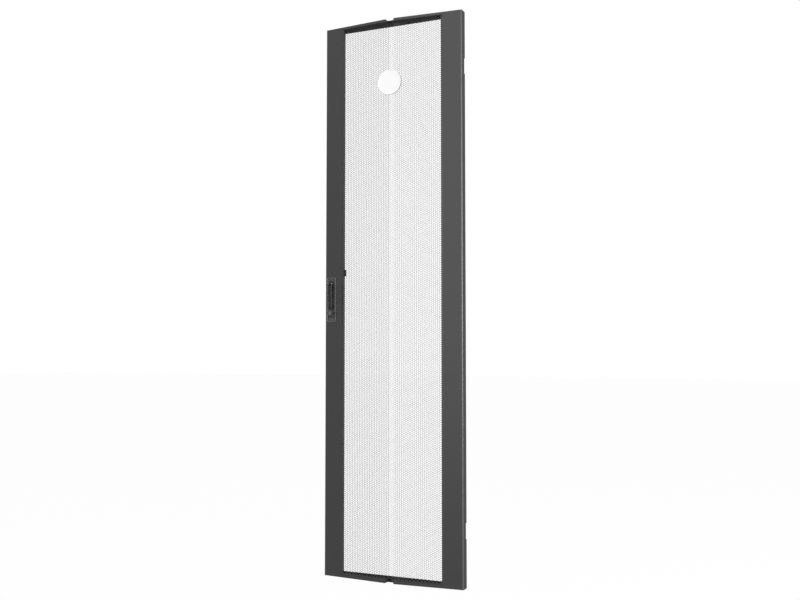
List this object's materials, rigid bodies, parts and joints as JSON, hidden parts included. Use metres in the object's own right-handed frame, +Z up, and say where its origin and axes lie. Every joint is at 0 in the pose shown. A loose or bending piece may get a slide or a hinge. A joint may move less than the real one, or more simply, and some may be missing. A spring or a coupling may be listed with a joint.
{
  "type": "rack door",
  "caption": "Tall perforated server rack door with a folded front, lift-off hinge pins and a recessed swing handle that draws locking rods through a rack and pinion.",
  "frame": {"origin": "on the hinge axis, at the shoulder of the lower hinge pin, where the ear of its bracket rests on the rack's socket", "axes": "+Z up along the hinge axis, the front of the closed door looks along -Y, the leaf reaches from the hinge along -X"},
  "size_m": [0.597, 0.062, 2.226],
  "materials": {
    "powder_coat": "fine powder coat, satin",
    "badge": "plain moulded",
    "dish": "fine texture",
    "lever": "satin black",
    "plated": "zinc plated",
    "steel": "turned steel",
    "lock_face": "satin chrome",
    "guide": "moulded"
  },
  "bodies": {
    "door": {"door_skin": "powder_coat", "latch_stile": "powder_coat", "hinge_stile": "powder_coat", "top_rail": "powder_coat", "bottom_rail": "powder_coat", "round_badge": "badge", "hinge_bracket_lower": "powder_coat", "hinge_bracket_upper": "powder_coat", "hinge_pin_lower": "steel", "hinge_pin_upper": "steel", "handle_dish": "dish", "dish_clamp_upper": "plated", "dish_clamp_lower": "plated", "clamp_screws": "plated", "gear_case": "lever", "gear_cover": "plated", "gear_screws": "plated", "case_rivet": "plated", "upper_rod_guide_near": "guide", "upper_rod_guide_far": "guide", "lower_rod_guide_near": "guide", "lower_rod_guide_far": "guide", "earth_stud": "plated", "earth_nut": "plated"},
    "drum": {"drive_drum": "lever", "lever_pin": "steel", "drive_pinion": "steel", "spindle_washer": "plated", "spindle_screw": "plated"},
    "lever": {"handle_lever": "lever"},
    "upper_rod": {"upper_rod": "plated"},
    "lower_rod": {"lower_rod": "plated"},
    "lock": {"lock_plug": "lock_face", "lock_tongue": "lever", "lock_washer": "plated", "lock_screw": "plated"}
  },
  "joints": [
    {"name": "handle_swivel", "type": "hinge", "parent": "door", "child": "drum", "pos_m": [-0.55659, -0.02536, 0.928], "axis": [-0.0801, -0.9968, 0], "range_deg": [0, 90]},
    {"name": "lever_lift", "type": "hinge", "parent": "drum", "child": "lever", "pos_m": [-0.5574, -0.03533, 0.928], "axis": [-0.9968, 0.0801, 0], "range_deg": [0, 35]},
    {"name": "upper_rod_slide", "type": "slide", "parent": "door", "child": "upper_rod", "axis": [0, 0, 1], "range_m": [-0.0198, 0]},
    {"name": "lower_rod_slide", "type": "slide", "parent": "door", "child": "lower_rod", "axis": [0, 0, 1], "range_m": [0, 0.0198]},
    {"name": "lock_turn", "type": "hinge", "parent": "door", "child": "lock", "pos_m": [-0.55659, -0.02536, 0.808], "axis": [-0.0801, -0.9968, 0], "range_deg": [0, 90]}
  ],
  "couplings": [
    {"joint": "upper_rod_slide", "follows": "handle_swivel", "m_per_rad": -0.0126},
    {"joint": "lower_rod_slide", "follows": "handle_swivel", "m_per_rad": 0.0126}
  ]
}
